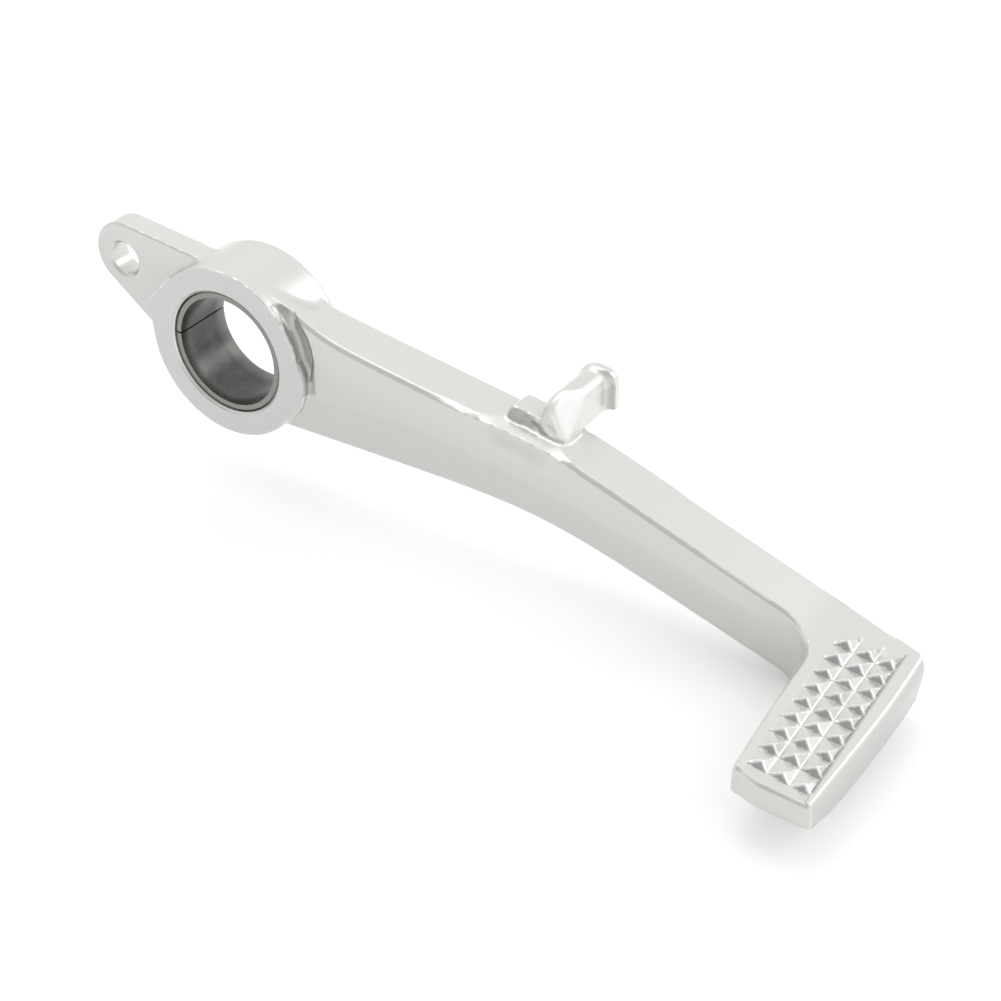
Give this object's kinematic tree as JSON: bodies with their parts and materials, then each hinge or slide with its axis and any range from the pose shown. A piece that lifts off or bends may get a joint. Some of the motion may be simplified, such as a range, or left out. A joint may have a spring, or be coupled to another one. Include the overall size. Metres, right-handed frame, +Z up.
{
  "type": "motorcycle rear brake pedal",
  "caption": "Forged rear brake pedal: bored pivot boss with bush, clevis lug, drafted arm with spring peg, and a studded sideways foot pad.",
  "frame": {"origin": "centre of the pivot bore", "axes": "+X forward along the arm to the foot pad, +Y along the pivot towards the machine's side with the spring peg, +Z up"},
  "size_m": [0.1735, 0.0582, 0.0503],
  "materials": {
    "forged_alloy": "satin",
    "bush_lining": "dark low-friction lining on a steel back"
  },
  "bodies": {
    "root": {"brake_pedal": "forged_alloy", "pivot_bush": "bush_lining"}
  },
  "joints": []
}
